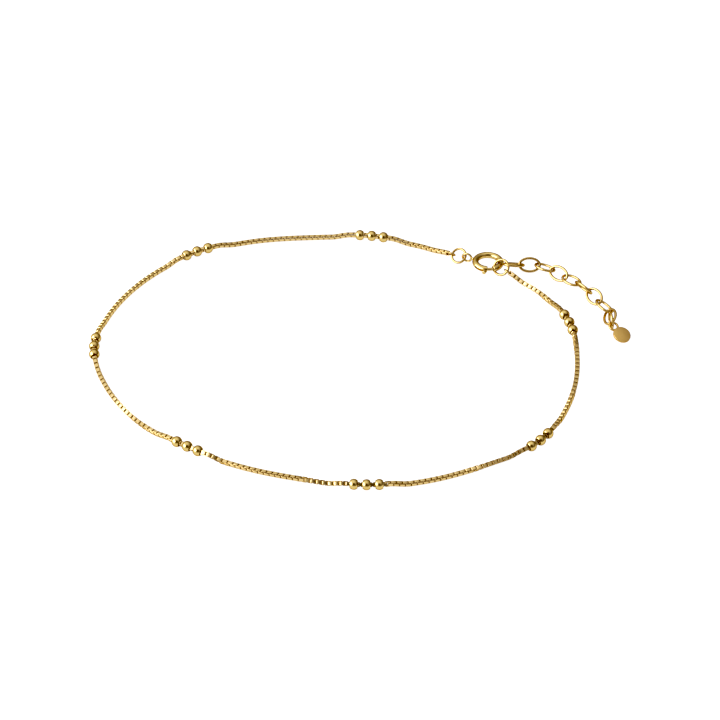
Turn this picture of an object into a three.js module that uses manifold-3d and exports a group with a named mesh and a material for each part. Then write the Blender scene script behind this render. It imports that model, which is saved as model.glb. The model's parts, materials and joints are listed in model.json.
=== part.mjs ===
// A fine fastened anklet: a box chain with seven groups of three drilled beads, two jump rings,
// a spring-ring clasp, and an extender of nine cable links that ends in a small round tag.
// Millimetres, +Z up. The anklet lies on the plane z = 0 with its box centred over the origin.
import * as THREE from "three";
import { mergeVertices } from "three/addons/utils/BufferGeometryUtils.js";
import Module from "manifold-3d";

// Beads
const beadDiameter = 1.76;
const beadLength = 1.22;
const beadPitch = 2.0;
const beadsInGroup = 3;
const groupCount = 7;
const groupSpacing = 30;
const firstGroupAt = 13.7;
const beadBoreClearance = 0.12;
const beadRim = 0.02;
const beadSides = 16;
const beadArcSteps = 6;

// Box chain
const chainWidth = 0.8;
const chainCorner = 0.18;
const chainSteps = 80;
const heightSteps = 320;
const curveDivisions = 4000;
const chainEyeDiameter = 1.45;
const chainEyeWire = 0.3;
const floorClearance = 0.02;
const liftFlat = 0.9;
const liftLength = 3.2;

// Rings, clasp and extender links
const joinClearance = 0.08;
const ringADiameter = 2.85;
const ringBDiameter = 3.0;
const ringWire = 0.42;
const claspDiameter = 5.3;
const claspTube = 1.06;
const claspWall = 0.2;
const claspGapStart = 285;
const claspGapEnd = 312;
const claspEyeDiameter = 1.9;
const claspEyeWire = 0.38;
const claspEyeTwist = 95;
const claspNeckLength = 0.3;
const claspNeckDiameter = 0.5;
const boltClearance = 0.06;
const boltSeat = 7;
const boltTail = 30;
const boltPastGap = 2;
const knobAt = 276;
const knobDiameter = 0.66;
const knobLength = 0.6;
const knobStemDiameter = 0.38;
const knobLift = 0.12;
const slotClearance = 0.05;
const claspSteps = 26;
const slotSteps = 8;
const boltSteps = 10;
const pinSides = 12;
const boreSides = 10;
const linkLength = 3.85;
const linkWidth = 2.65;
const linkWire = 0.45;
const linkSlack = 0.12;
const linkSides = 16;
const wireSides = 6;
const tagRingDiameter = 2.9;

// End tag
const tagDiameter = 2.95;
const tagThickness = 0.4;
const tagBevel = 0.06;
const tagEyeDiameter = 1.84;
const tagEyeWire = 0.4;
const tagEyeSink = 0.42;
const tagSides = 32;

// How the pieces lie, as directions in degrees round from +X and up from level
const claspPlace = [21.4, 23.3, 1.1];
const claspFacing = [75, 84];
const claspTurn = -20;
const ringBHookAt = 346;
const ringAFacing = [-124, 54];
const ringBFacing = [-124, 44];
const extenderHookTurn = 52;
const tagRingFacing = [10, 0];
const tagFacing = [-45, 70];
const tagEyeToward = 135;

// The chain's route on the surface between its two end eyes, drawn for a chain of this length
const drawnLength = 210;
const chainRoute = [
  [9.8, 28.3],
  [1.9, 30.4],
  [-8.0, 30.5],
  [-18.2, 29.4],
  [-27.6, 26.2],
  [-35.3, 20.0],
  [-40.9, 11.5],
  [-43.3, 2.2],
  [-41.2, -6.2],
  [-35.8, -14.8],
  [-27.2, -21.5],
  [-18.4, -25.8],
  [-9.0, -28.5],
  [0.8, -30.2],
  [10.8, -28.8],
  [20.4, -25.0],
  [28.4, -20.2],
  [33.1, -12.0],
  [35.2, -2.5],
  [34.4, 8.2],
  [30.1, 15.8],
];

// The extender's route from jump ring B to the tag ring, and each link's turn about it from flat
const extenderRoute = [
  [27.1, 22.6, 1.1],
  [29.8, 22.6, 1.05],
  [34.1, 19.5, 1.12],
  [37.9, 15.7, 1.26],
  [39.7, 12.9, 1.08],
  [41.1, 10.9, 0.88],
  [41.1, 7.6, 0.95],
];
const linkTurns = [-27, 48, -20, 48, -6, -60, 38, -28, 36];

const wasm = await Module();
wasm.setup();

const gold = { color: 0xd4a04a, roughness: 0.22, metalness: 1 };
const satinGold = { color: 0xb8914b, roughness: 0.5, metalness: 1 };

const up = new THREE.Vector3(0, 0, 1);

function radians(degrees) {
  return (degrees * Math.PI) / 180;
}

// The unit vector that points azimuth degrees round from +X and elevation degrees up.
function facing([azimuth, elevation]) {
  const level = Math.cos(radians(elevation));
  const x = level * Math.cos(radians(azimuth));
  const y = level * Math.sin(radians(azimuth));
  return new THREE.Vector3(x, y, Math.sin(radians(elevation)));
}

// The part of a vector that lies in the plane across a normal, as a unit vector.
function inPlane(vector, normal) {
  return vector.clone().addScaledVector(normal, -vector.dot(normal)).normalize();
}

function solid(geometry) {
  const bare = geometry.clone();
  bare.deleteAttribute("normal");
  bare.deleteAttribute("uv");
  const merged = mergeVertices(bare.index ? bare.toNonIndexed() : bare, 1e-4);
  const vertProperties = merged.attributes.position.array;
  const triVerts = new Uint32Array(merged.index.array);
  return new wasm.Manifold(new wasm.Mesh({ numProp: 3, vertProperties, triVerts }));
}

function geometryOf(manifold) {
  const mesh = manifold.getMesh();
  const geometry = new THREE.BufferGeometry();
  geometry.setAttribute("position", new THREE.BufferAttribute(mesh.vertProperties, 3));
  geometry.setIndex(new THREE.BufferAttribute(mesh.triVerts, 1));
  geometry.computeVertexNormals();
  return geometry;
}

function namedMesh(name, geometry, look) {
  const mesh = new THREE.Mesh(geometry, new THREE.MeshStandardMaterial(look));
  mesh.name = name;
  return mesh;
}

// A closed wire oval in the XY plane, its length along X.
function wireOval(length, width, wire) {
  const geometry = new THREE.TorusGeometry(1, wire / 2, wireSides, linkSides);
  const position = geometry.attributes.position;
  const halfLength = (length - wire) / 2;
  const halfWidth = (width - wire) / 2;
  for (let i = 0; i < position.count; i += 1) {
    const angle = Math.atan2(position.getY(i), position.getX(i));
    const outward = Math.hypot(position.getX(i), position.getY(i)) - 1;
    const across = new THREE.Vector2(halfWidth * Math.cos(angle), halfLength * Math.sin(angle));
    across.normalize();
    const x = halfLength * Math.cos(angle) + outward * across.x;
    const y = halfWidth * Math.sin(angle) + outward * across.y;
    position.setXY(i, x, y);
  }
  return geometry;
}

function wireRing(diameter, wire) {
  return wireOval(diameter, diameter, wire);
}

// A place drawn on the surface, spread to the length that the groups of beads ask for.
function laid([x, y, z]) {
  const spread = (groupCount * groupSpacing) / drawnLength;
  return new THREE.Vector3(x * spread, y * spread, z);
}

// Turns and moves a piece so that its X axis runs along one direction and its Z axis is the normal.
function place(object, centre, along, normal) {
  const across = normal.clone().cross(along).normalize();
  const basis = new THREE.Matrix4().makeBasis(along, across, normal);
  object.quaternion.setFromRotationMatrix(basis);
  object.position.copy(centre);
  return object;
}

// Part of a circle in the XY plane, between two angles in degrees.
class ArcPath extends THREE.Curve {
  constructor(radius, startAngle, endAngle) {
    super();
    this.radius = radius;
    this.startAngle = radians(startAngle);
    this.endAngle = radians(endAngle);
  }
  getPoint(t, target = new THREE.Vector3()) {
    const angle = THREE.MathUtils.lerp(this.startAngle, this.endAngle, t);
    return target.set(this.radius * Math.cos(angle), this.radius * Math.sin(angle), 0);
  }
}

function circleShape(radius, sides) {
  const shape = new THREE.Shape();
  for (let i = 0; i < sides; i += 1) {
    const angle = (2 * Math.PI * i) / sides;
    const point = [radius * Math.cos(angle), radius * Math.sin(angle)];
    if (i === 0) shape.moveTo(...point);
    else shape.lineTo(...point);
  }
  shape.closePath();
  return shape;
}

function sweep(shape, path, steps) {
  return new THREE.ExtrudeGeometry(shape, { steps, extrudePath: path, bevelEnabled: false });
}

// Clasp, in its own frame: the ring lies in the XY plane and its eye is on the -X side.
const tubeRadius = claspTube / 2;
const boreRadius = tubeRadius - claspWall;
const claspRadius = (claspDiameter - claspTube) / 2;
const claspEyeRadius = (claspEyeDiameter - claspEyeWire) / 2;
const claspEyeAt = claspRadius + tubeRadius + claspNeckLength + claspEyeRadius;
const slotWidth = knobStemDiameter + 2 * slotClearance;

// The bolt slides round the bore. At rest its tip sits in the far end of the tube, and drawn
// back it clears the gap.
const boltTip = claspGapEnd + boltSeat;
const boltTravel = boltTip - claspGapStart + boltPastGap;

function rodAlongY(diameter, from, to) {
  const rod = new THREE.CylinderGeometry(diameter / 2, diameter / 2, to - from, pinSides);
  return rod.translate(0, (from + to) / 2, 0);
}

// The slot that the knob's stem runs in, open on the outside of the tube.
function claspSlot() {
  const reach = 2 * tubeRadius;
  const shape = new THREE.Shape([
    new THREE.Vector2(-slotWidth / 2, -reach),
    new THREE.Vector2(slotWidth / 2, -reach),
    new THREE.Vector2(slotWidth / 2, 0),
    new THREE.Vector2(-slotWidth / 2, 0),
  ]);
  const halfTurn = THREE.MathUtils.radToDeg(slotWidth / 2 / claspRadius);
  const path = new ArcPath(claspRadius, knobAt - boltTravel - halfTurn, knobAt + halfTurn);
  return solid(sweep(shape, path, slotSteps));
}

// The neck starts inside the tube's wall and ends inside the eye's wire.
function claspNeckAndEye() {
  const neckStart = claspRadius + boreRadius + claspWall / 2;
  const neckEnd = claspEyeAt - claspEyeRadius;
  const neck = rodAlongY(claspNeckDiameter, neckStart, neckEnd).rotateZ(Math.PI / 2);
  const eye = wireRing(claspEyeDiameter, claspEyeWire).rotateX(radians(claspEyeTwist));
  return solid(neck).add(solid(eye.translate(-claspEyeAt, 0, 0)));
}

function claspBody() {
  const section = circleShape(tubeRadius, pinSides);
  section.holes.push(circleShape(boreRadius, boreSides));
  const path = new ArcPath(claspRadius, claspGapEnd, claspGapStart + 360);
  const tube = solid(sweep(section, path, claspSteps));
  return geometryOf(tube.subtract(claspSlot()).add(claspNeckAndEye()));
}

function claspBolt() {
  const section = circleShape(boreRadius - boltClearance, boreSides);
  const path = new ArcPath(claspRadius, knobAt - boltTail, boltTip);
  const rod = solid(sweep(section, path, boltSteps));
  const knobStart = claspRadius + tubeRadius + knobLift;
  const stem = solid(rodAlongY(knobStemDiameter, claspRadius, knobStart));
  const knob = solid(rodAlongY(knobDiameter, knobStart, knobStart + knobLength));
  const handle = geometryOf(stem.add(knob)).rotateZ(radians(knobAt - 90));
  return geometryOf(rod.add(solid(handle)));
}

function buildClasp() {
  const group = new THREE.Group();
  group.add(namedMesh("clasp_body", claspBody(), gold));
  group.add(namedMesh("clasp_bolt", claspBolt(), gold));
  const normal = facing(claspFacing);
  const east = inPlane(facing([claspTurn, 0]), normal);
  place(group, laid(claspPlace), east, normal);
  group.updateMatrixWorld(true);
  return group;
}

const chainEyeRadius = (chainEyeDiameter - chainEyeWire) / 2;

// A jump ring whose wire passes through a point and whose middle lies outward from it.
function hungRing(name, diameter, wirePoint, outward, normal) {
  const radius = (diameter - ringWire) / 2;
  const away = inPlane(outward, normal);
  const centre = wirePoint.clone().addScaledVector(away, radius);
  const mesh = place(namedMesh(name, wireRing(diameter, ringWire), gold), centre, away, normal);
  return { mesh, centre, normal, radius };
}

// Ring A passes through the clasp's eye.
function buildRingA(clasp) {
  const lap = (claspEyeWire + ringWire) / 2 + joinClearance;
  const wirePoint = new THREE.Vector3(lap - claspEyeAt - claspEyeRadius, 0, 0);
  const outward = new THREE.Vector3(-1, 0, 0).transformDirection(clasp.matrixWorld);
  clasp.localToWorld(wirePoint);
  return hungRing("jump_ring_a", ringADiameter, wirePoint, outward, facing(ringAFacing));
}

// Ring B goes round the clasp's tube.
function buildRingB(clasp) {
  const normal = facing(ringBFacing);
  const hook = facing([ringBHookAt, 0]);
  const outward = hook.clone().transformDirection(clasp.matrixWorld);
  const lap = tubeRadius + ringWire / 2 + joinClearance;
  const wirePoint = clasp.localToWorld(hook.multiplyScalar(claspRadius));
  wirePoint.addScaledVector(inPlane(outward, normal), -lap);
  return hungRing("jump_ring_b", ringBDiameter, wirePoint, outward, normal);
}

// A chain end eye hooked on a jump ring, on the side that looks toward the chain.
function hookedEye(ring, toward) {
  const side = inPlane(toward.clone().sub(ring.centre), ring.normal);
  const wirePoint = ring.centre.clone().addScaledVector(side, ring.radius);
  const along = toward.clone().sub(wirePoint).normalize();
  const lap = (ringWire + chainEyeWire) / 2 + joinClearance;
  const centre = wirePoint.clone().addScaledVector(along, chainEyeRadius - lap);
  const wireRun = ring.normal.clone().cross(side);
  return { centre, along, normal: inPlane(wireRun, along), side };
}

// Chain: an eight-sided tube that stands for the folded links, with a wire eye at each end.
const beadBoreRadius = Math.hypot(chainWidth / 2, chainWidth / 2 - chainCorner) + beadBoreClearance;
const groupLength = (beadsInGroup - 1) * beadPitch + beadLength;
const chainAxisOnFloor = chainWidth / 2 + floorClearance;

function groupPosition(group) {
  return firstGroupAt + group * groupSpacing;
}

// The chain's height at a distance along it: held up by each group of beads, down between them.
function chainHeight(distance, length, startHeight, endHeight) {
  let lift = 0;
  for (let group = 0; group < groupCount; group += 1) {
    const fromGroup = Math.abs(distance - groupPosition(group)) - groupLength / 2 - liftFlat;
    lift = Math.max(lift, 1 - THREE.MathUtils.smoothstep(fromGroup, 0, liftLength));
  }
  const middle = THREE.MathUtils.lerp(chainAxisOnFloor, beadDiameter / 2, lift);
  const nearStart = 1 - THREE.MathUtils.smoothstep(distance, 0, liftLength);
  const nearEnd = THREE.MathUtils.smoothstep(distance, length - liftLength, length);
  const first = THREE.MathUtils.lerp(middle, startHeight, nearStart);
  return THREE.MathUtils.lerp(first, endHeight, nearEnd);
}

function chainCurve(start, end) {
  const drawn = chainRoute.map(([x, y]) => laid([x, y, 0]));
  const level = [start.clone().setZ(0), ...drawn, end.clone().setZ(0)];
  const route = new THREE.CatmullRomCurve3(level);
  route.arcLengthDivisions = curveDivisions;
  const length = route.getLength();
  const points = [];
  for (let i = 0; i <= heightSteps; i += 1) {
    const point = route.getPointAt(i / heightSteps);
    point.z = chainHeight((length * i) / heightSteps, length, start.z, end.z);
    points.push(point);
  }
  const curve = new THREE.CatmullRomCurve3(points);
  curve.arcLengthDivisions = curveDivisions;
  return curve;
}

function chainSection() {
  const half = chainWidth / 2;
  const flat = half - chainCorner;
  const corners = [
    [half, -flat],
    [half, flat],
    [flat, half],
    [-flat, half],
    [-half, flat],
    [-half, -flat],
    [-flat, -half],
    [flat, -half],
  ];
  return new THREE.Shape(corners.map(([x, y]) => new THREE.Vector2(x, y)));
}

function chainEye(eye) {
  const mesh = place(
    new THREE.Mesh(wireRing(chainEyeDiameter, chainEyeWire)),
    eye.centre,
    eye.along,
    eye.normal,
  );
  mesh.updateMatrixWorld(true);
  return solid(mesh.geometry.applyMatrix4(mesh.matrixWorld));
}

function buildChain(eyeA, eyeB) {
  const start = eyeA.centre.clone().addScaledVector(eyeA.along, chainEyeRadius);
  const end = eyeB.centre.clone().addScaledVector(eyeB.along, chainEyeRadius);
  const curve = chainCurve(start, end);
  const tube = solid(sweep(chainSection(), curve, chainSteps));
  const whole = tube.add(chainEye(eyeA)).add(chainEye(eyeB));
  return { curve, mesh: namedMesh("box_chain", geometryOf(whole), gold) };
}

// Bead: a flattened ball, drilled through and turned about its Y axis.
function beadGeometry() {
  const half = beadLength / 2;
  const radius = beadDiameter / 2;
  const rimAngle = Math.acos((beadBoreRadius + beadRim) / radius);
  const profile = [new THREE.Vector2(beadBoreRadius, -half)];
  for (let i = 0; i <= beadArcSteps; i += 1) {
    const angle = rimAngle * ((2 * i) / beadArcSteps - 1);
    const y = (half * Math.sin(angle)) / Math.sin(rimAngle);
    profile.push(new THREE.Vector2(radius * Math.cos(angle), y));
  }
  profile.push(new THREE.Vector2(beadBoreRadius, half));
  profile.push(new THREE.Vector2(beadBoreRadius, -half));
  return new THREE.LatheGeometry(profile, beadSides);
}

function beadOn(curve, distance, name) {
  const u = distance / curve.getLength();
  const tangent = curve.getTangentAt(u).setZ(0).normalize();
  const across = tangent.clone().cross(up);
  const centre = curve.getPointAt(u).setZ(beadDiameter / 2);
  return place(namedMesh(name, beadGeometry(), gold), centre, across, up);
}

function buildBeads(curve) {
  const beads = new THREE.Group();
  for (let group = 0; group < groupCount; group += 1) {
    for (let i = 0; i < beadsInGroup; i += 1) {
      const offset = (i - (beadsInGroup - 1) / 2) * beadPitch;
      const name = `bead_${group + 1}_${i + 1}`;
      beads.add(beadOn(curve, groupPosition(group) + offset, name));
    }
  }
  return beads;
}

// Extender: each link reaches past the two joints that it hangs between.
const linkLap = linkWire + joinClearance + linkSlack;
const linkPitch = linkLength - linkWire - linkLap;

// A point at a distance along a route, which goes on straight past its end.
function alongRoute(route, distance) {
  const length = route.getLength();
  const past = Math.max(0, distance - length);
  const point = route.getPointAt((distance - past) / length);
  return point.addScaledVector(route.getTangent(1), past);
}

function buildExtender(firstJoint) {
  const group = new THREE.Group();
  const route = new THREE.CatmullRomCurve3([firstJoint, ...extenderRoute.map(laid)]);
  const joints = linkTurns.map((turn, i) => alongRoute(route, linkPitch * (i + 1)));
  joints.unshift(firstJoint);
  let end = null;
  linkTurns.forEach((turn, i) => {
    const centre = joints[i].clone().add(joints[i + 1]).multiplyScalar(0.5);
    const along = joints[i + 1].clone().sub(joints[i]).normalize();
    const normal = inPlane(up, along).applyAxisAngle(along, radians(turn));
    const geometry = wireOval(linkLength, linkWidth, linkWire);
    const link = namedMesh(`extender_link_${i + 1}`, geometry, gold);
    group.add(place(link, centre, along, normal));
    end = centre.clone().addScaledVector(along, (linkLength - linkWire) / 2);
  });
  return { group, end };
}

// Tag, in its own frame: the disc lies in the XY plane and its eye is on the +X side.
const tagEyeRadius = (tagEyeDiameter - tagEyeWire) / 2;
const tagEyeAt = tagDiameter / 2 + tagEyeDiameter / 2 - tagEyeSink;

function tagGeometry() {
  const radius = tagDiameter / 2;
  const half = tagThickness / 2;
  const profile = [
    new THREE.Vector2(0, -half),
    new THREE.Vector2(radius - tagBevel, -half),
    new THREE.Vector2(radius, tagBevel - half),
    new THREE.Vector2(radius, half - tagBevel),
    new THREE.Vector2(radius - tagBevel, half),
    new THREE.Vector2(0, half),
  ];
  const disc = new THREE.LatheGeometry(profile, tagSides).rotateX(Math.PI / 2);
  const eye = wireRing(tagEyeDiameter, tagEyeWire).translate(tagEyeAt, 0, 0);
  return geometryOf(solid(disc).add(solid(eye)));
}

// The tag's ring stands up in the last link.
function buildTagRing(linkEnd) {
  const lap = (ringWire + linkWire) / 2 + joinClearance + linkSlack;
  const wirePoint = linkEnd.clone().addScaledVector(up, -lap);
  return hungRing("tag_ring", tagRingDiameter, wirePoint, up, facing(tagRingFacing));
}

// The tag hangs by its eye on the front of its ring.
function buildTag(ring) {
  const normal = facing(tagFacing);
  const toEye = inPlane(facing([tagEyeToward, 0]), normal);
  const front = inPlane(toEye.clone().negate(), ring.normal).setZ(0).normalize();
  const wirePoint = ring.centre.clone().addScaledVector(front, ring.radius);
  const lap = (ringWire + tagEyeWire) / 2 + joinClearance;
  const centre = wirePoint.addScaledVector(toEye, lap - tagEyeRadius - tagEyeAt);
  return place(namedMesh("end_tag", tagGeometry(), satinGold), centre, toEye, normal);
}

// Moves the whole anklet so that it lies on z = 0 with its box centred over the origin.
function settle(group) {
  group.updateMatrixWorld(true);
  const box = new THREE.Box3().setFromObject(group, true);
  const middle = box.getCenter(new THREE.Vector3());
  group.position.set(-middle.x, -middle.y, -box.min.z);
  return group;
}

// Where the extender starts: round ring B's wire, beside the chain's eye.
function extenderStart(ring, eye) {
  const side = eye.side.clone().applyAxisAngle(ring.normal, radians(extenderHookTurn));
  const hookPoint = ring.centre.clone().addScaledVector(side, ring.radius);
  const way = laid(extenderRoute[0]).sub(hookPoint).normalize();
  const lap = (ringWire + linkWire) / 2 + joinClearance;
  return hookPoint.addScaledVector(way, -lap / 2);
}

function routeEnd([x, y]) {
  return laid([x, y, chainAxisOnFloor]);
}

function buildAnklet() {
  const clasp = buildClasp();
  const ringA = buildRingA(clasp);
  const ringB = buildRingB(clasp);
  const eyeA = hookedEye(ringA, routeEnd(chainRoute[0]));
  const eyeB = hookedEye(ringB, routeEnd(chainRoute[chainRoute.length - 1]));
  const chain = buildChain(eyeA, eyeB);
  const beads = buildBeads(chain.curve);
  const extender = buildExtender(extenderStart(ringB, eyeB));
  const tagRing = buildTagRing(extender.end);
  const tag = buildTag(tagRing);
  const anklet = new THREE.Group();
  anklet.add(clasp, ringA.mesh, ringB.mesh, chain.mesh, beads, extender.group);
  anklet.add(tagRing.mesh, tag);
  return settle(anklet);
}

export default buildAnklet();
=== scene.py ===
"""A fine gold-plated anklet: box chain, small beads, spring-ring clasp, extender and end tag.

The script works in millimetres and turns them to metres where a mesh is made. Each piece stands
where the solid that it replaces stands, and rides on that solid's body.
"""
import json
import math

import bmesh
import bpy
import numpy as np
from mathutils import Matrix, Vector


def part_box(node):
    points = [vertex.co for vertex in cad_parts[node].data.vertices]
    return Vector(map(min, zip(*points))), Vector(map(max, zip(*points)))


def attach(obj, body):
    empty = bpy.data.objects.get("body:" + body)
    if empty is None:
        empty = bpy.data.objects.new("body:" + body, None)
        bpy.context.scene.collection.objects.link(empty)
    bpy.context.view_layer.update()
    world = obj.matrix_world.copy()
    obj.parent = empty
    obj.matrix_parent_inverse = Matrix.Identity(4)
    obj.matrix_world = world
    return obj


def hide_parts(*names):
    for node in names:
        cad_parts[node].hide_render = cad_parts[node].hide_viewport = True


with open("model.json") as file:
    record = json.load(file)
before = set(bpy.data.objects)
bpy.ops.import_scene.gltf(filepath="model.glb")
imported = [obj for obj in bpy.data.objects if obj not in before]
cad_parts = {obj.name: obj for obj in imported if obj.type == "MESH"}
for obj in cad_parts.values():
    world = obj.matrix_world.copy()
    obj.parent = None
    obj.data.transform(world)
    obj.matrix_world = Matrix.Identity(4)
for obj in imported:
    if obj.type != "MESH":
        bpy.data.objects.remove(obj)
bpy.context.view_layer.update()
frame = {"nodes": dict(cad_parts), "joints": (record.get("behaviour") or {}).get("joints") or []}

MM = 0.001

# Faces that meet at more than this angle have a sharp edge
SHARP_FROM = 32

# Camera, at the photograph's angle
CAMERA_ELEVATION = 41.85
CAMERA_DISTANCE = 599.7
CAMERA_LENS = 184.4
CAMERA_SENSOR = 36.0
CAMERA_CLIP_START = 10.0

# Gold in the photograph is redder in its shadows than in its lights. The shadow tone is taken off
# red, green and blue; the pairs are levels of green and of blue, as lit and as shown.
SHADOW_TONE = (0.018, 0.032, 0.035)
PALE_GREEN = ((0.25, 0.25), (0.58, 0.615))
PALE_BLUE = ((0.15, 0.145), (0.4, 0.48))

# Beads
BEAD_DIAMETER = 1.76
BEAD_LENGTH = 1.22
BEAD_PITCH = 2.0
BEADS_IN_GROUP = 3
BEAD_GROUPS = 7
BEAD_RIM = 0.05
BORE_EASE = 0.05
BORE_LIP = 0.01
BEAD_SIDES = 48
BEAD_ARC_STEPS = 18
# Points of the centreline on each side of a bead that give its direction
BEAD_SIGHT = 6

# Box chain: square links folded from strip, each turned a quarter from the last. It goes up to
# pass through a group of beads and to reach its end eyes, over the lift's length.
CHAIN_WIDTH = 0.8
CHAIN_CORNER = 0.18
CHAIN_BORE_ROOM = 0.12
LINK_LENGTH = 0.86
LINK_STRIP_WIDTH = 0.55
LINK_STRIP = 0.12
LINK_CORNER = 0.085
LINK_CORNER_STEPS = 4
LINK_EDGE = 0.025
LINK_PITCH = 0.472
# How far ahead and behind the centreline is looked at for a link's direction
LINK_SIGHT = 0.2
EYE_DIAMETER = 1.45
EYE_WIRE = 0.3
JOIN_CLEARANCE = 0.08
FLOOR_CLEARANCE = 0.02
LIFT_FLAT = 0.9
LIFT_LENGTH = 3.2
HEIGHT_STEPS = 320

# Rings and extender links
RING_WIRE = 0.42
CABLE_WIRE = 0.45
WIRE_SIDES = 20
WIRE_STEPS = 84
RING_CUT = 0.035
RING_CUT_EDGE = 0.03
SOLDER_SWELL = 0.035
SOLDER_LENGTH = 0.5
EXTENDER_LINKS = 9
# Where each ring's sawn ends meet, in degrees round it
RING_CUTS = (
    ("jump_ring_a", 250),
    ("jump_ring_b", 100),
    ("tag_ring", 60),
)

# Clasp, in its own frame: the ring lies flat and its eye is on the side at 180 degrees
CLASP_RADIUS = 2.12
CLASP_TUBE = 0.53
CLASP_BORE = 0.33
CLASP_GAP_START = 285
CLASP_GAP_END = 312
CLASP_LIP = 0.05
CLASP_SIDES = 40
CLASP_STEPS = 72
CLASP_NECK_LENGTH = 0.3
CLASP_NECK = 0.25
CLASP_NECK_WAIST = 0.2
CLASP_NECK_SINK = 0.08
CLASP_NECK_LAP = 0.04
CLASP_NECK_SIDES = 24
CLASP_NECK_STEPS = 9
CLASP_EYE_DIAMETER = 1.9
CLASP_EYE_WIRE = 0.38
CLASP_EYE_TWIST = 95
BOLT_RADIUS = 0.27
BOLT_TIP = 319
BOLT_TAIL = 246
BOLT_STEPS = 40
BOLT_TIP_SHARES = (0.3, 0.55, 0.75, 0.9, 0.98)
KNOB_AT = 276
KNOB_TRAVEL = 36
KNOB_RADIUS = 0.33
KNOB_STEM = 0.19
KNOB_SINK = 0.1
KNOB_START = 0.62
KNOB_LENGTH = 0.6
KNOB_FOOT_EASE = 0.05
KNOB_TOP_EASE = 0.12
KNOB_EASE_STEPS = 6
# Radius of the small face that closes the knob's end
KNOB_MIDDLE = 0.05
# The solid's corners within this of the farthest one are the knob's end face
KNOB_FACE_DEPTH = 0.05
SLOT_HALF = 0.24
SLOT_STEPS = 18
# The faces round the tube, from its outermost line, that the slot leaves out
SLOT_SIDES = range(-2, 2)

# End tag
TAG_DIAMETER = 2.95
TAG_THICKNESS = 0.4
TAG_BEVEL = 0.07
TAG_BEVEL_STEPS = 4
# Radius of the small faces that close the tag's two sides
TAG_MIDDLE = 0.02
TAG_EYE_DIAMETER = 1.84
TAG_EYE_WIRE = 0.4
TAG_EYE_SINK = 0.42
TAG_SIDES = 96

# Studio. Places and sizes of the light are in metres, the table's grain is counted in a metre.
TABLE_HALF = 2500.0
TABLE_GRAIN = 900.0
TABLE_SHADES = (0.36, 0.38)
TABLE_GLOW = 0.9
SOFTBOX_AT = (-0.88, -0.22, 0.42)
SOFTBOX_SIZE = (1.1, 0.75)
SOFTBOX_POWER = 14.0
# The light tent's bright side, its reach and its strength from dim to bright
TENT_TOWARD = (-0.5, -0.1, 0.85)
TENT_REACH = (-0.1, 0.95)
TENT_STRENGTH = (0.25, 1.5)
# The camera's opening in the tent, from its rim to its middle, and what it lets through
OPENING_REACH = (0.76, 0.96)
OPENING_SHARE = (1.0, 0.1)

# The clasp's middle and the chain's route on the surface, both as the solids were drawn
CLASP_DRAWN_AT = (21.4, 23.3)
CHAIN_ROUTE = (
    (9.8, 28.3),
    (1.9, 30.4),
    (-8.0, 30.5),
    (-18.2, 29.4),
    (-27.6, 26.2),
    (-35.3, 20.0),
    (-40.9, 11.5),
    (-43.3, 2.2),
    (-41.2, -6.2),
    (-35.8, -14.8),
    (-27.2, -21.5),
    (-18.4, -25.8),
    (-9.0, -28.5),
    (0.8, -30.2),
    (10.8, -28.8),
    (20.4, -25.0),
    (28.4, -20.2),
    (33.1, -12.0),
    (35.2, -2.5),
    (34.4, 8.2),
    (30.1, 15.8),
)

# How the chain lies rolled over, in degrees at distances along it, as the camera sees it: at 0 and
# 90 one of its sides faces the camera, with one row of links, and at 45 an edge does, with two rows
CHAIN_LOOK = (
    (0, -45),
    (16, -42),
    (20, -45),
    (40, -45),
    (47, -27),
    (51, -45),
    (70, -45),
    (77, 0),
    (90, 0),
    (94, 12),
    (98, 45),
    (106, 0),
    (109, 5),
    (112, 45),
    (122, 45),
    (125, 85),
    (130, 90),
    (136, 90),
    (138, 45),
    (150, 45),
    (153, 5),
    (159, 0),
    (166, 0),
    (170, 40),
    (175, 40),
    (178, 3),
    (186, 0),
    (190, -45),
    (197, -45),
    (200, -40),
    (203, 0),
)

UP = np.array([0.0, 0.0, 1.0])
TILT = math.radians(CAMERA_ELEVATION)
TO_CAMERA = np.array([0.0, -math.cos(TILT), math.sin(TILT)])

# The clasp's middle, and how far the whole was moved from where it was drawn
BOLT_JOINT = frame["joints"][0]
CLASP_AT = np.array(BOLT_JOINT["pos_m"]) / MM
MOVED = CLASP_AT[:2] - np.array(CLASP_DRAWN_AT)


def unit(vector):
    return vector / np.linalg.norm(vector)


def in_plane(vector, normal):
    """The part of a vector that lies across a normal, as a unit vector."""
    return unit(vector - normal * np.dot(vector, normal))


def node_points(node):
    """The different corners of a solid, in millimetres."""
    points = [vertex.co for vertex in frame["nodes"][node].data.vertices]
    return np.unique(np.round(np.array(points) / MM, 4), axis=0)


def flat_pose(node):
    """Middle, long direction and normal of a flat piece such as a ring, link or tag."""
    points = node_points(node)
    centre = points.mean(axis=0)
    _, directions = np.linalg.eigh(np.cov((points - centre).T))
    return centre, directions[:, 2], directions[:, 0]


def reach(node, direction):
    """How far a solid reaches along a direction, from low to high."""
    along = node_points(node) @ direction
    return along.min(), along.max()


# Meshes


def skin(rings, loop=False):
    """Points and faces over a run of rings of points, either a loop or closed by its end rings."""
    rings = np.asarray(rings)
    count, around = rings.shape[:2]
    faces = []
    for i in range(count if loop else count - 1):
        for j in range(around):
            a = i * around + j
            b = i * around + (j + 1) % around
            c = ((i + 1) % count) * around + (j + 1) % around
            d = ((i + 1) % count) * around + j
            faces.append((a, b, c, d))
    if not loop:
        faces.append(tuple(range(around - 1, -1, -1)))
        faces.append(tuple(range((count - 1) * around, count * around)))
    return rings.reshape(-1, 3), faces


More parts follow.
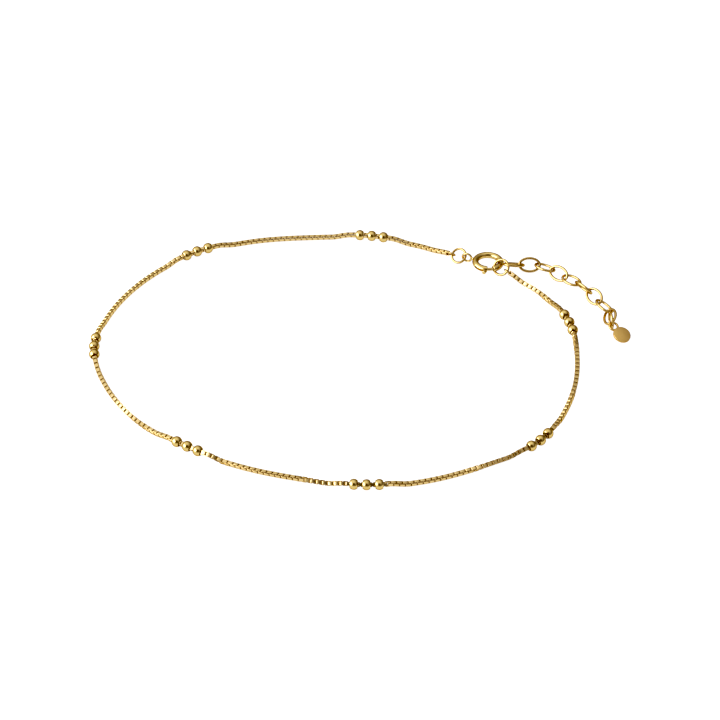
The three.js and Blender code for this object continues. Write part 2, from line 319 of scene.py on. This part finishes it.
def joined(parts):
    """Several bodies of points and faces as one list of points and one of faces."""
    points = []
    faces = []
    start = 0
    for part_points, part_faces in parts:
        points.append(part_points)
        faces.extend(tuple(i + start for i in face) for face in part_faces)
        start += len(part_points)
    return np.vstack(points), faces


def make_piece(name, shape, material, replaced, body="anklet"):
    """One smooth-shaded object from points in millimetres, standing for CAD nodes."""
    points, faces = shape
    mesh = bpy.data.meshes.new(name)
    mesh.from_pydata([tuple(point * MM) for point in points], [], faces)
    work = bmesh.new()
    work.from_mesh(mesh)
    bmesh.ops.recalc_face_normals(work, faces=work.faces)
    work.to_mesh(mesh)
    work.free()
    mesh.polygons.foreach_set("use_smooth", [True] * len(mesh.polygons))
    mesh.set_sharp_from_angle(angle=math.radians(SHARP_FROM))
    mesh.materials.append(material)
    piece = bpy.data.objects.new(name, mesh)
    bpy.context.scene.collection.objects.link(piece)
    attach(piece, body)
    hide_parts(*replaced)


# Materials

# A Mix node's two colours and its result have the names of its other sockets too, so go by number
MIX_FIRST = 6
MIX_SECOND = 7
MIX_RESULT = 2


def linear(hex_colour):
    """An sRGB hex colour as the linear colour that a shader takes."""
    values = [int(hex_colour[i:i + 2], 16) / 255 for i in (1, 3, 5)]
    return [v / 12.92 if v <= 0.04045 else ((v + 0.055) / 1.055) ** 2.4 for v in values] + [1.0]


def add_node(tree, kind, values=None, links=None, **settings):
    """One node with its settings, its plain values and what is linked into it."""
    node = tree.nodes.new("ShaderNode" + kind)
    for name, value in settings.items():
        setattr(node, name, value)
    for socket, value in (values or {}).items():
        node.inputs[socket].default_value = value
    for socket, source in (links or {}).items():
        tree.links.new(source, node.inputs[socket])
    return node


def empty_material(name):
    material = bpy.data.materials.new(name)
    material.use_nodes = True
    material.node_tree.nodes.clear()
    return material, material.node_tree


def add_gold_surface(tree, colour, gloss, bump):
    """The metal itself. Its tint keeps the plate yellow where light glances off."""
    shader = add_node(
        tree,
        "BsdfPrincipled",
        {"Metallic": 1.0, "Specular Tint": linear("#A4844C")},
        {
            "Base Color": colour.outputs[MIX_RESULT],
            "Roughness": gloss.outputs["Result"],
            "Normal": bump.outputs["Normal"],
        },
    )
    add_node(tree, "OutputMaterial", {}, {"Surface": shader.outputs["BSDF"]})


def polished_gold(name, tone, deep_tone, roughness, ripple_mm, ripple_depth_mm):
    """Electroplated gold, tumbled and buffed: a mirror with a faint ripple and fine hairlines."""
    material, tree = empty_material(name)
    place = add_node(tree, "TexCoord").outputs["Object"]
    tint = add_node(
        tree, "TexNoise", {"Scale": 1 / (2.2 * MM), "Detail": 3.0}, {"Vector": place}
    )
    colour = add_node(
        tree,
        "Mix",
        {MIX_FIRST: linear(deep_tone), MIX_SECOND: linear(tone)},
        {0: tint.outputs["Fac"]},
        data_type="RGBA",
    )
    wear = add_node(
        tree, "TexNoise", {"Scale": 1 / (0.35 * MM), "Detail": 4.0}, {"Vector": place}
    )
    gloss = add_node(
        tree,
        "MapRange",
        {"From Min": 0.35, "From Max": 0.75, "To Min": roughness, "To Max": roughness + 0.1},
        {"Value": wear.outputs["Fac"]},
    )
    ripple = add_node(
        tree, "TexNoise", {"Scale": 1 / (ripple_mm * MM), "Detail": 1.0}, {"Vector": place}
    )
    ripple_bump = add_node(
        tree,
        "Bump",
        {"Strength": 0.6, "Distance": ripple_depth_mm * MM},
        {"Height": ripple.outputs["Fac"]},
    )
    drawn_out = add_node(
        tree, "Mapping", {"Scale": (1.0, 0.12, 0.3), "Rotation": (0.3, 0.2, 0.7)}, {"Vector": place}
    )
    hairlines = add_node(
        tree,
        "TexNoise",
        {"Scale": 1 / (0.03 * MM), "Detail": 2.0},
        {"Vector": drawn_out.outputs["Vector"]},
    )
    bump = add_node(
        tree,
        "Bump",
        {"Strength": 0.25, "Distance": 0.0006 * MM},
        {"Height": hairlines.outputs["Fac"], "Normal": ripple_bump.outputs["Normal"]},
    )
    add_gold_surface(tree, colour, gloss, bump)
    return material


def satin_gold():
    """Gold plate over a face rubbed with fine grit: a soft sheen with straight fine lines."""
    material, tree = empty_material("satin gold plate")
    place = add_node(tree, "TexCoord").outputs["Object"]
    tint = add_node(
        tree, "TexNoise", {"Scale": 1 / (1.4 * MM), "Detail": 4.0}, {"Vector": place}
    )
    colour = add_node(
        tree,
        "Mix",
        {MIX_FIRST: linear("#BC985E"), MIX_SECOND: linear("#CEAB70")},
        {0: tint.outputs["Fac"]},
        data_type="RGBA",
    )
    rubbed = add_node(
        tree,
        "Mapping",
        {"Scale": (1.0, 0.06, 0.06), "Rotation": (0.0, 0.0, 0.5)},
        {"Vector": place},
    )
    # The real lines are about 0.02 mm apart; they are drawn at 0.08 mm so that they show.
    lines = add_node(
        tree,
        "TexNoise",
        {"Scale": 1 / (0.08 * MM), "Detail": 3.0, "Roughness": 0.6},
        {"Vector": rubbed.outputs["Vector"]},
    )
    gloss = add_node(
        tree,
        "MapRange",
        {"From Min": 0.3, "From Max": 0.7, "To Min": 0.32, "To Max": 0.46},
        {"Value": lines.outputs["Fac"]},
    )
    bump = add_node(
        tree,
        "Bump",
        {"Strength": 0.5, "Distance": 0.006 * MM},
        {"Height": lines.outputs["Fac"]},
    )
    add_gold_surface(tree, colour, gloss, bump)
    return material


# Wire rings and links


def wire_section(centre, out, side, radius):
    turns = np.linspace(0, 2 * math.pi, WIRE_SIDES, endpoint=False)
    return [centre + radius * (math.cos(t) * out + math.sin(t) * side) for t in turns]


def oval_frame(angle, half_length, half_width, centre, along, across):
    """A point on an oval and the direction out of it there."""
    point = centre + half_length * math.cos(angle) * along + half_width * math.sin(angle) * across
    out = unit(half_width * math.cos(angle) * along + half_length * math.sin(angle) * across)
    return point, out


def closed_link(centre, along, normal, length, width, wire, solder_at=90):
    """An oval wire link, closed with solder that swells the wire a little."""
    across = np.cross(normal, along)
    half_length = (length - wire) / 2
    half_width = (width - wire) / 2
    rings = []
    for i in range(WIRE_STEPS):
        angle = 2 * math.pi * i / WIRE_STEPS
        point, out = oval_frame(angle, half_length, half_width, centre, along, across)
        off = math.remainder(angle - math.radians(solder_at), 2 * math.pi) * half_width
        swell = SOLDER_SWELL * math.exp(-((off / (SOLDER_LENGTH / 2)) ** 2))
        rings.append(wire_section(point, out, normal, wire / 2 + swell * wire))
    return skin(rings, loop=True)


def cut_ring(centre, along, normal, diameter, wire, cut_at):
    """A round jump ring bent shut, with the hairline where its two sawn ends meet."""
    across = np.cross(normal, along)
    radius = (diameter - wire) / 2
    half_cut = RING_CUT / 2 / radius
    start = math.radians(cut_at) + half_cut
    end = math.radians(cut_at) + 2 * math.pi - half_cut
    step_in = RING_CUT_EDGE / radius
    angles = [start, *np.linspace(start + step_in, end - step_in, WIRE_STEPS), end]
    rings = []
    for i, angle in enumerate(angles):
        point, out = oval_frame(angle, radius, radius, centre, along, across)
        eased = RING_CUT_EDGE if i in (0, len(angles) - 1) else 0
        rings.append(wire_section(point, out, normal, wire / 2 - eased))
    return skin(rings)


def make_jump_ring(node, cut_at, material):
    centre, along, normal = flat_pose(node)
    low, high = reach(node, along)
    shape = cut_ring(centre, along, normal, high - low, RING_WIRE, cut_at)
    make_piece(node + "_wire", shape, material, [node])


def make_cable_link(number, material):
    node = f"extender_link_{number}"
    centre, along, normal = flat_pose(node)
    low, high = reach(node, along)
    left, right = reach(node, np.cross(normal, along))
    shape = closed_link(centre, along, normal, high - low, right - left, CABLE_WIRE)
    make_piece(node + "_wire", shape, material, [node])


# Chain centreline


def smooth_curve(points, samples_each=24):
    """A centripetal Catmull-Rom curve through points, as the solid's chain was drawn."""
    points = [np.array(p, float) for p in points]
    ends = [2 * points[0] - points[1], *points, 2 * points[-1] - points[-2]]
    curve = []
    for a, b, c, d in zip(ends, ends[1:], ends[2:], ends[3:]):
        ab, bc, cd = (math.sqrt(np.linalg.norm(q - p)) for p, q in ((a, b), (b, c), (c, d)))
        start_pull = ((b - a) / ab - (c - a) / (ab + bc) + (c - b) / bc) * bc
        end_pull = ((c - b) / bc - (d - b) / (bc + cd) + (d - c) / cd) * bc
        for t in np.arange(samples_each) / samples_each:
            square = -3 * b + 3 * c - 2 * start_pull - end_pull
            cube = 2 * b - 2 * c + start_pull + end_pull
            curve.append(b + start_pull * t + square * t * t + cube * t ** 3)
    curve.append(points[-1])
    return np.array(curve)


def distances(curve):
    steps = np.linalg.norm(np.diff(curve, axis=0), axis=1)
    return np.concatenate([[0.0], np.cumsum(steps)])


def at_distance(curve, along, distance):
    return np.array([np.interp(distance, along, curve[:, k]) for k in range(3)])


def smooth_step(value, low, high):
    t = min(max((value - low) / (high - low), 0.0), 1.0)
    return t * t * (3 - 2 * t)


def group_middle(group):
    """The middle bead of a group, where its solid is."""
    low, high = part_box(f"bead_{group}_{(BEADS_IN_GROUP + 1) // 2}")
    return np.array((low + high) / 2) / MM


def hooked_eye(ring, toward):
    """The chain's end eye on a jump ring, on the side that looks toward the chain."""
    centre, along, normal = flat_pose(ring)
    low, high = reach(ring, along)
    radius = (high - low - RING_WIRE) / 2
    side = in_plane(toward - centre, normal)
    wire_point = centre + side * radius
    way = unit(toward - wire_point)
    eye_radius = (EYE_DIAMETER - EYE_WIRE) / 2
    lap = (RING_WIRE + EYE_WIRE) / 2 + JOIN_CLEARANCE
    eye_centre = wire_point + way * (eye_radius - lap)
    return eye_centre, way, in_plane(np.cross(normal, side), way)


def chain_line():
    """The chain's centreline, its distances and its two end eyes."""
    floor = CHAIN_WIDTH / 2 + FLOOR_CLEARANCE
    route = [np.array([*(np.array(point) + MOVED), floor]) for point in CHAIN_ROUTE]
    eye_a = hooked_eye("jump_ring_a", route[0])
    eye_b = hooked_eye("jump_ring_b", route[-1])
    eye_radius = (EYE_DIAMETER - EYE_WIRE) / 2
    start = eye_a[0] + eye_a[1] * eye_radius
    end = eye_b[0] + eye_b[1] * eye_radius
    level = smooth_curve([p * (1, 1, 0) for p in [start, *route, end]])
    along = distances(level)
    length = along[-1]
    middles = []
    for group in range(1, BEAD_GROUPS + 1):
        gaps = np.linalg.norm(level[:, :2] - group_middle(group)[:2], axis=1)
        middles.append(along[gaps.argmin()])
    half_group = ((BEADS_IN_GROUP - 1) * BEAD_PITCH + BEAD_LENGTH) / 2
    points = []
    for distance in np.linspace(0, length, HEIGHT_STEPS + 1):
        apart = min(abs(distance - middle) for middle in middles) - half_group - LIFT_FLAT
        lift = 1 - smooth_step(apart, 0, LIFT_LENGTH)
        height = floor + (BEAD_DIAMETER / 2 - floor) * lift
        near_start = 1 - smooth_step(distance, 0, LIFT_LENGTH)
        near_end = smooth_step(distance, length - LIFT_LENGTH, length)
        height += (start[2] - height) * near_start
        height += (end[2] - height) * near_end
        point = at_distance(level, along, distance)
        points.append([point[0], point[1], height])
    line = smooth_curve(points, 4)
    return line, distances(line), eye_a, eye_b


# Box chain


def folded_link():
    """Points of one folded square link, as columns along, up and across, and its faces."""
    flat_x = (LINK_LENGTH - LINK_STRIP) / 2 - LINK_CORNER
    flat_z = (CHAIN_WIDTH - LINK_STRIP) / 2 - LINK_CORNER
    strip = LINK_STRIP / 2
    wide = LINK_STRIP_WIDTH / 2
    section = (
        (strip, -wide + LINK_EDGE),
        (strip, wide - LINK_EDGE),
        (strip - LINK_EDGE, wide),
        (LINK_EDGE - strip, wide),
        (-strip, wide - LINK_EDGE),
        (-strip, -wide + LINK_EDGE),
        (LINK_EDGE - strip, -wide),
        (strip - LINK_EDGE, -wide),
    )
    rings = []
    for corner_x, corner_z, start in ((1, 1, 0), (-1, 1, 90), (-1, -1, 180), (1, -1, 270)):
        for i in range(LINK_CORNER_STEPS + 1):
            turn = math.radians(start + 90 * i / LINK_CORNER_STEPS)
            out_x, out_z = math.cos(turn), math.sin(turn)
            x = corner_x * flat_x + LINK_CORNER * out_x
            z = corner_z * flat_z + LINK_CORNER * out_z
            rings.append([(x + out_x * u, z + out_z * u, v) for u, v in section])
    return skin(rings, loop=True)


def box_links(line, along):
    """Every link of the chain, placed along its centreline."""
    link_points, link_faces = folded_link()
    stations, looks = zip(*CHAIN_LOOK)
    room = (LINK_LENGTH - LINK_PITCH) / 2
    count = round((along[-1] - 2 * room) / LINK_PITCH)
    pitch = (along[-1] - 2 * room) / count
    parts = []
    for i in range(count + 1):
        distance = room + i * pitch
        centre = at_distance(line, along, distance)
        ahead = at_distance(line, along, min(distance + LINK_SIGHT, along[-1]))
        behind = at_distance(line, along, max(distance - LINK_SIGHT, 0.0))
        way = unit(ahead - behind)
        level = unit(np.cross(UP, way))
        upright = np.cross(way, level)
        facing = math.atan2(TO_CAMERA @ level, TO_CAMERA @ upright)
        roll = facing + math.radians(np.interp(distance, stations, looks) + 90 * (i % 2))
        face = math.cos(roll) * upright + math.sin(roll) * level
        across = np.cross(face, way)
        turned = link_points @ np.array([way, face, across])
        parts.append((centre + turned, link_faces))
    return joined(parts)


def make_chain(line, along, eye_a, eye_b, material, wire_material):
    links = box_links(line, along)
    make_piece("box_chain_links", links, material, ["box_chain"])
    eyes = [
        closed_link(centre, way, normal, EYE_DIAMETER, EYE_DIAMETER, EYE_WIRE, solder_at=0)
        for centre, way, normal in (eye_a, eye_b)
    ]
    make_piece("box_chain_end_eyes", joined(eyes), wire_material, ["box_chain"])


# Beads


def turned_shape(profile, centre, axis, sides):
    """A closed profile of (radius, along) pairs turned about an axis."""
    out = unit(np.cross(axis, UP)) if abs(axis[2]) < 0.9 else np.array([1.0, 0.0, 0.0])
    side = np.cross(axis, out)
    rings = []
    for i in range(sides):
        turn = 2 * math.pi * i / sides
        away = math.cos(turn) * out + math.sin(turn) * side
        rings.append([centre + away * radius + axis * along for radius, along in profile])
    return skin(rings, loop=True)


def bead_profile():
    """A flattened ball with a drilled bore whose rims are eased."""
    bore = math.hypot(CHAIN_WIDTH / 2, CHAIN_WIDTH / 2 - CHAIN_CORNER) + CHAIN_BORE_ROOM
    radius = BEAD_DIAMETER / 2
    half = BEAD_LENGTH / 2
    rim = math.acos((bore + BEAD_RIM) / radius)
    profile = []
    for i in range(BEAD_ARC_STEPS + 1):
        angle = rim * (2 * i / BEAD_ARC_STEPS - 1)
        profile.append((radius * math.cos(angle), half * math.sin(angle) / math.sin(rim)))
    profile.append((bore + BEAD_RIM / 3, half - BORE_LIP))
    profile.append((bore, half - BORE_EASE))
    profile.append((bore, BORE_EASE - half))
    profile.append((bore + BEAD_RIM / 3, BORE_LIP - half))
    return profile


def make_beads(line, along, material):
    profile = bead_profile()
    for group in range(1, BEAD_GROUPS + 1):
        for number in range(1, BEADS_IN_GROUP + 1):
            node = f"bead_{group}_{number}"
            low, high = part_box(node)
            centre = np.array((low + high) / 2) / MM
            nearest = np.linalg.norm(line - centre, axis=1).argmin()
            ahead = line[min(nearest + BEAD_SIGHT, len(line) - 1)]
            way = ahead - line[max(nearest - BEAD_SIGHT, 0)]
            axis = in_plane(way, UP)
            shape = turned_shape(profile, centre, axis, BEAD_SIDES)
            make_piece(node + "_polished", shape, material, [node])


# Clasp


def clasp_frame():
    """The clasp's middle and its three directions, from its joint and its knob."""
    normal = -unit(np.array(BOLT_JOINT["axis"]))
    points = node_points("clasp_bolt") - CLASP_AT
    flat = points - np.outer(points @ normal, normal)
    far = np.linalg.norm(flat, axis=1)
    knob = unit(flat[far > far.max() - KNOB_FACE_DEPTH].mean(axis=0))
    turn = math.radians(-KNOB_AT)
    along = math.cos(turn) * knob + math.sin(turn) * np.cross(normal, knob)
    return CLASP_AT, along, np.cross(normal, along), normal


def around_clasp(pose, degrees, section):
    """Points of a tube's section at an angle round the clasp; section is (out, up) pairs."""
    centre, along, across, normal = pose
    turn = math.radians(degrees)
    out = math.cos(turn) * along + math.sin(turn) * across
    return [centre + out * (CLASP_RADIUS + u) + normal * v for u, v in section]


def circle(radius, sides=32):
    turns = np.linspace(0, 2 * math.pi, sides, endpoint=False)
    return [(radius * math.cos(t), radius * math.sin(t)) for t in turns]


def clasp_tube(pose):
    """The hollow ring: outer and inner skins, rounded lips at the gap, and the knob's slot."""
    lip_turn = math.degrees(CLASP_LIP / CLASP_RADIUS)
    slot_turn = math.degrees(SLOT_HALF / CLASP_RADIUS)
    slot_low = KNOB_AT - KNOB_TRAVEL - slot_turn
    slot_high = KNOB_AT + slot_turn
    start = CLASP_GAP_END - 360
    solid_run = np.linspace(start + lip_turn, slot_low, CLASP_STEPS)
    slot_run = np.linspace(slot_low, slot_high, SLOT_STEPS)[1:]
    angles = [start, *solid_run, *slot_run, CLASP_GAP_START - lip_turn, CLASP_GAP_START]
    last = len(angles) - 1
    outer = []
    inner = []
    for i, angle in enumerate(angles):
        eased = CLASP_LIP if i in (0, last) else 0
        outer.append(around_clasp(pose, angle, circle(CLASP_TUBE - eased, CLASP_SIDES)))
        inner.append(around_clasp(pose, angle, circle(CLASP_BORE, CLASP_SIDES)))
    points = np.vstack([np.array(outer).reshape(-1, 3), np.array(inner).reshape(-1, 3)])
    slot_first = len(solid_run)
    slot_last = slot_first + len(slot_run)
    faces = []

    def corner(i, j, layer):
        return (layer * len(angles) + i) * CLASP_SIDES + j % CLASP_SIDES

    def wall(i, j, next_i, next_j):
        """A face through the tube's wall, from its outer skin to its inner one."""
        faces.append(
            (corner(i, j, 0), corner(next_i, next_j, 0), corner(next_i, next_j, 1), corner(i, j, 1))
        )

    for i in range(last):
        for j in range(CLASP_SIDES):
            side = j if j < CLASP_SIDES / 2 else j - CLASP_SIDES
            if slot_first <= i < slot_last and side in SLOT_SIDES:
                continue
            for layer in (0, 1):
                faces.append(
                    (
                        corner(i, j, layer),
                        corner(i, j + 1, layer),
                        corner(i + 1, j + 1, layer),
                        corner(i + 1, j, layer),
                    )
                )
    for j in range(CLASP_SIDES):
        for i in (0, last):
            wall(i, j, i, j + 1)
    for i in range(slot_first, slot_last):
        for j in (SLOT_SIDES.start, SLOT_SIDES.stop):
            wall(i, j, i + 1, j)
    for j in SLOT_SIDES:
        for i in (slot_first, slot_last):
            wall(i, j, i, j + 1)
    return points, faces


def clasp_neck(pose):
    """The soldered neck between the tube and the eye, waisted in the middle."""
    centre, along, across, normal = pose
    start = CLASP_RADIUS + CLASP_BORE + CLASP_NECK_SINK
    end = CLASP_RADIUS + CLASP_TUBE + CLASP_NECK_LENGTH + CLASP_NECK_LAP
    rings = []
    for t in np.linspace(0, 1, CLASP_NECK_STEPS):
        waist = CLASP_NECK * (1 - CLASP_NECK_WAIST * math.sin(math.pi * t))
        middle = centre - along * (start + (end - start) * t)
        section = circle(waist, CLASP_NECK_SIDES)
        rings.append([middle + across * u + normal * v for u, v in section])
    return skin(rings)


def clasp_eye(pose):
    centre, along, across, normal = pose
    radius = (CLASP_EYE_DIAMETER - CLASP_EYE_WIRE) / 2
    reach_out = CLASP_RADIUS + CLASP_TUBE + CLASP_NECK_LENGTH + radius
    twist = math.radians(CLASP_EYE_TWIST)
    facing = math.cos(twist) * normal - math.sin(twist) * across
    eye_centre = centre - along * reach_out
    return closed_link(
        eye_centre,
        along,
        facing,
        CLASP_EYE_DIAMETER,
        CLASP_EYE_DIAMETER,
        CLASP_EYE_WIRE,
        solder_at=0,
    )


def bolt_rod(pose):
    """The sprung bolt, with a rounded tip."""
    tip = math.degrees(BOLT_RADIUS / CLASP_RADIUS)
    rings = []
    for angle in np.linspace(BOLT_TAIL, BOLT_TIP - tip, BOLT_STEPS):
        rings.append(around_clasp(pose, angle, circle(BOLT_RADIUS)))
    for t in BOLT_TIP_SHARES:
        small = BOLT_RADIUS * math.sqrt(1 - t * t)
        rings.append(around_clasp(pose, BOLT_TIP - tip + tip * t, circle(small)))
    return skin(rings)


def bolt_knob(pose):
    """The thumb knob: a stem through the slot and a small drum with rounded edges."""
    centre, along, across, normal = pose
    turn = math.radians(KNOB_AT)
    out = math.cos(turn) * along + math.sin(turn) * across
    side = np.cross(normal, out)
    base = CLASP_RADIUS + KNOB_START
    top = base + KNOB_LENGTH
    ease = KNOB_TOP_EASE
    profile = [
        (KNOB_STEM, CLASP_RADIUS + KNOB_SINK),
        (KNOB_STEM, base),
        (KNOB_RADIUS - KNOB_FOOT_EASE, base),
        (KNOB_RADIUS, base + KNOB_FOOT_EASE),
    ]
    for t in np.linspace(0, math.pi / 2, KNOB_EASE_STEPS):
        profile.append((KNOB_RADIUS - ease + ease * math.cos(t), top - ease + ease * math.sin(t)))
    profile.append((KNOB_MIDDLE, top))
    rings = []
    for radius, far in profile:
        rings.append([centre + out * far + side * u + normal * v for u, v in circle(radius)])
    return skin(rings)


def make_clasp(material):
    pose = clasp_frame()
    body = joined([clasp_tube(pose), clasp_neck(pose), clasp_eye(pose)])
    make_piece("clasp_ring", body, material, ["clasp_body"])
    bolt = joined([bolt_rod(pose), bolt_knob(pose)])
    make_piece("clasp_bolt_and_knob", bolt, material, ["clasp_bolt"], "clasp_bolt")


# End tag


def tag_frame():
    """The tag's disc centre, the direction to its eye, and its normal."""
    centre, to_eye, normal = flat_pose("end_tag")
    if (flat_pose("tag_ring")[0] - centre) @ to_eye < 0:
        to_eye = -to_eye
    if normal[2] < 0:
        normal = -normal
    low, _ = reach("end_tag", to_eye)
    points = node_points("end_tag")
    across = np.cross(normal, to_eye)
    side = (points @ across).min() + (points @ across).max()
    level = (points @ normal).min() + (points @ normal).max()
    disc = to_eye * (low + TAG_DIAMETER / 2) + across * side / 2 + normal * level / 2
    return disc, to_eye, normal


def make_tag(material):
    disc, to_eye, normal = tag_frame()
    across = np.cross(normal, to_eye)
    radius = TAG_DIAMETER / 2
    half = TAG_THICKNESS / 2
    profile = [(TAG_MIDDLE, -half)]
    for start, height in ((-90, TAG_BEVEL - half), (0, half - TAG_BEVEL)):
        for degrees in np.linspace(start, start + 90, TAG_BEVEL_STEPS):
            turn = math.radians(degrees)
            size = radius - TAG_BEVEL + TAG_BEVEL * math.cos(turn)
            profile.append((size, height + TAG_BEVEL * math.sin(turn)))
    profile.append((TAG_MIDDLE, half))
    rings = []
    for size, far in profile:
        section = circle(size, TAG_SIDES)
        rings.append([disc + to_eye * u + across * v + normal * far for u, v in section])
    eye_at = disc + to_eye * (radius + TAG_EYE_DIAMETER / 2 - TAG_EYE_SINK)
    eye = closed_link(
        eye_at, to_eye, normal, TAG_EYE_DIAMETER, TAG_EYE_DIAMETER, TAG_EYE_WIRE, solder_at=180
    )
    make_piece("round_end_tag", joined([skin(rings), eye]), material, ["end_tag"])


# Studio


def make_camera():
    camera = bpy.data.cameras.new("camera")
    camera.lens = CAMERA_LENS
    camera.sensor_width = CAMERA_SENSOR
    camera.clip_start = CAMERA_CLIP_START * MM
    holder = bpy.data.objects.new("camera", camera)
    holder.location = (np.array([*MOVED, 0]) + TO_CAMERA * CAMERA_DISTANCE) * MM
    holder.rotation_euler = (math.pi / 2 - TILT, 0, 0)
    bpy.context.scene.collection.objects.link(holder)
    bpy.context.scene.camera = holder


def make_floor():
    """A plain white table top, lit from below so that nothing throws a shadow on it."""
    material, tree = empty_material("white table top")
    place = add_node(tree, "TexCoord").outputs["Object"]
    grain = add_node(tree, "TexNoise", {"Scale": TABLE_GRAIN, "Detail": 3.0}, {"Vector": place})
    shade = add_node(
        tree,
        "MapRange",
        {"To Min": TABLE_SHADES[0], "To Max": TABLE_SHADES[1]},
        {"Value": grain.outputs["Fac"]},
    )
    shader = add_node(
        tree,
        "BsdfPrincipled",
        {
            "Roughness": 0.9,
            "Specular IOR Level": 0.1,
            "Emission Color": linear("#FFFFFF"),
            "Emission Strength": TABLE_GLOW,
        },
        {"Base Color": shade.outputs["Result"]},
    )
    add_node(tree, "OutputMaterial", {}, {"Surface": shader.outputs["BSDF"]})
    size = TABLE_HALF * MM
    mesh = bpy.data.meshes.new("table_top")
    mesh.from_pydata(
        [(-size, -size, 0), (size, -size, 0), (size, size, 0), (-size, size, 0)], [], [(0, 1, 2, 3)]
    )
    mesh.materials.append(material)
    floor = bpy.data.objects.new("table_top", mesh)
    bpy.context.scene.collection.objects.link(floor)


def make_softbox(name, place, size, power):
    """A soft rectangular light that looks at the anklet."""
    light = bpy.data.lights.new(name, "AREA")
    light.shape = "RECTANGLE"
    light.size, light.size_y = size
    light.energy = power
    holder = bpy.data.objects.new(name, light)
    holder.location = place
    holder.rotation_euler = (-Vector(place)).to_track_quat("-Z", "Y").to_euler()
    bpy.context.scene.collection.objects.link(holder)


def make_studio():
    """A light tent, brighter on the left, with a dark opening for the camera, and a softbox."""
    world = bpy.data.worlds.new("studio")
    bpy.context.scene.world = world
    world.use_nodes = True
    tree = world.node_tree
    tree.nodes.clear()
    place = add_node(tree, "TexCoord").outputs["Generated"]
    strengths = []
    for toward, reached, share in (
        (TENT_TOWARD, TENT_REACH, TENT_STRENGTH),
        (TO_CAMERA, OPENING_REACH, OPENING_SHARE),
    ):
        facing = add_node(
            tree, "VectorMath", {1: tuple(toward)}, {0: place}, operation="DOT_PRODUCT"
        )
        part = add_node(
            tree,
            "MapRange",
            {
                "From Min": reached[0],
                "From Max": reached[1],
                "To Min": share[0],
                "To Max": share[1],
            },
            {"Value": facing.outputs["Value"]},
            interpolation_type="SMOOTHSTEP",
        )
        strengths.append(part.outputs["Result"])
    strength = add_node(tree, "Math", {}, dict(enumerate(strengths)), operation="MULTIPLY")
    light = add_node(
        tree,
        "Background",
        {"Color": linear("#FFFFFF")},
        {"Strength": strength.outputs["Value"]},
    )
    add_node(tree, "OutputWorld", {}, {"Surface": light.outputs["Background"]})
    make_softbox("softbox_left", SOFTBOX_AT, SOFTBOX_SIZE, SOFTBOX_POWER)
    view = bpy.context.scene.view_settings
    view.view_transform = "Standard"
    view.use_curve_mapping = True
    view.curve_mapping.black_level = SHADOW_TONE
    _, green, blue, _ = view.curve_mapping.curves
    for curve, points in ((green, PALE_GREEN), (blue, PALE_BLUE)):
        for as_it_is, as_shown in points:
            curve.points.new(as_it_is, as_shown)
    view.curve_mapping.update()


make_camera()
make_floor()
make_studio()

# The name, light and deep tones, roughness, and the ripple's width and depth in millimetres
chain_gold = polished_gold("polished gold plate on chain", "#CEB382", "#C0A26C", 0.16, 0.6, 0.004)
bead_gold = polished_gold("polished gold plate on beads", "#C8AC74", "#BC9F66", 0.12, 0.6, 0.012)
wire_gold = polished_gold("polished gold plate on wire", "#C2A46C", "#B09058", 0.13, 0.7, 0.005)
clasp_gold = polished_gold("polished gold plate on clasp", "#C8AC74", "#BC9F66", 0.12, 1.1, 0.008)
tag_gold = satin_gold()

centreline, run, first_eye, last_eye = chain_line()
make_chain(centreline, run, first_eye, last_eye, chain_gold, wire_gold)
make_beads(centreline, run, bead_gold)
make_clasp(clasp_gold)
for ring, cut in RING_CUTS:
    make_jump_ring(ring, cut, wire_gold)
for link in range(1, EXTENDER_LINKS + 1):
    make_cable_link(link, wire_gold)
make_tag(tag_gold)
